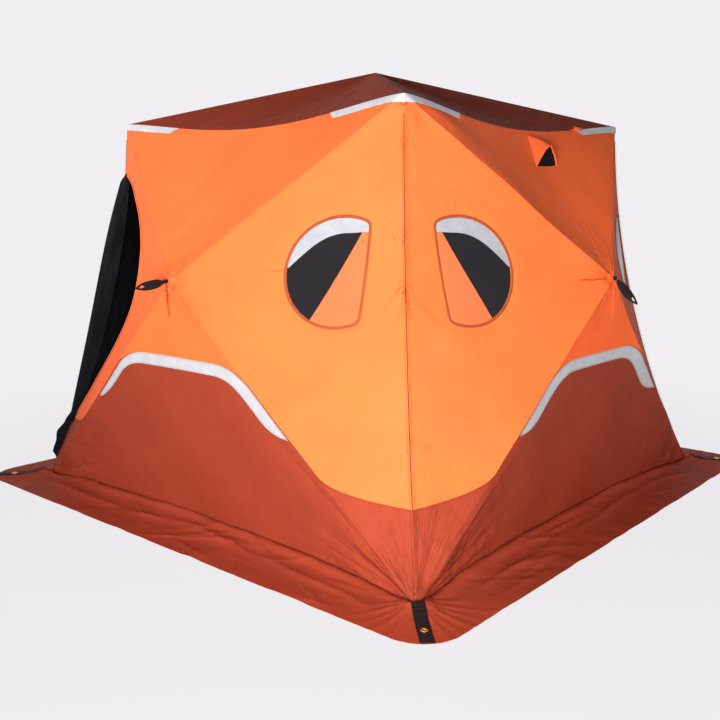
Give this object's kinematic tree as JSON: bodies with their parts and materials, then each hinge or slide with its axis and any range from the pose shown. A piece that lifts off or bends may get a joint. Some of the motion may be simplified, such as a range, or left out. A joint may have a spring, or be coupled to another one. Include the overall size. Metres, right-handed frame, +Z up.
{
  "type": "pop-up ice fishing shelter",
  "caption": "Pop-up hub shelter for ice fishing: fabric walls pushed out by pole hubs, a low roof, a ground skirt, D-shaped film windows and an open zip doorway.",
  "frame": {"origin": "on the ground below the roof's peak, at the middle of the square that the walls stand on", "axes": "+Z up; the front wall, with the doorway, faces -Y, and +X is to its right seen from outside"},
  "size_m": [2.92, 2.9506, 2.051],
  "materials": {
    "orange_fabric": "coated woven fabric, soft sheen, black inner side",
    "rust_fabric": "coated woven fabric, soft sheen, black inner side",
    "black_lining": "black coated lining with a faint sheen",
    "black_webbing": "woven webbing, matte",
    "reflective_tape": "silver reflective tape, sewn on",
    "window_film": "clear flexible film",
    "pole_fibreglass": "solid fibreglass rod",
    "hub_plastic": "moulded black plastic",
    "brass": "rolled brass eyelet",
    "guy_cord": "braided cord"
  },
  "bodies": {
    "root": {"roof_front_panel": "rust_fabric", "roof_right_panel": "rust_fabric", "roof_back_panel": "rust_fabric", "roof_left_panel": "rust_fabric", "front_wall_top_panel": "orange_fabric", "right_wall_top_panel": "orange_fabric", "back_wall_top_panel": "orange_fabric", "left_wall_top_panel": "orange_fabric", "front_wall_left_panel": "orange_fabric", "right_wall_left_panel": "orange_fabric", "back_wall_left_panel": "orange_fabric", "left_wall_left_panel": "orange_fabric", "front_wall_right_panel": "orange_fabric", "right_wall_right_panel": "orange_fabric", "back_wall_right_panel": "orange_fabric", "left_wall_right_panel": "orange_fabric", "front_wall_lower_panel": "rust_fabric", "right_wall_lower_panel": "rust_fabric", "back_wall_lower_panel": "rust_fabric", "left_wall_lower_panel": "rust_fabric", "wall_center_panels": "orange_fabric", "front_skirt": "rust_fabric", "right_skirt": "rust_fabric", "back_skirt": "rust_fabric", "left_skirt": "rust_fabric", "wall_poles": "pole_fibreglass", "roof_poles": "pole_fibreglass", "wall_hubs": "hub_plastic", "roof_hub": "hub_plastic", "top_corner_caps": "hub_plastic", "corner_feet": "hub_plastic", "lower_tapes": "reflective_tape", "eave_tapes": "reflective_tape", "window_panes": "window_film", "window_bindings": "rust_fabric", "window_tapes": "reflective_tape", "window_shades": "orange_fabric", "vent_hoods": "orange_fabric", "door_flap": "black_lining", "door_binding": "orange_fabric", "anchor_straps": "black_webbing", "eyelets": "brass", "pull_straps": "black_webbing", "guy_cord": "guy_cord"}
  },
  "joints": []
}
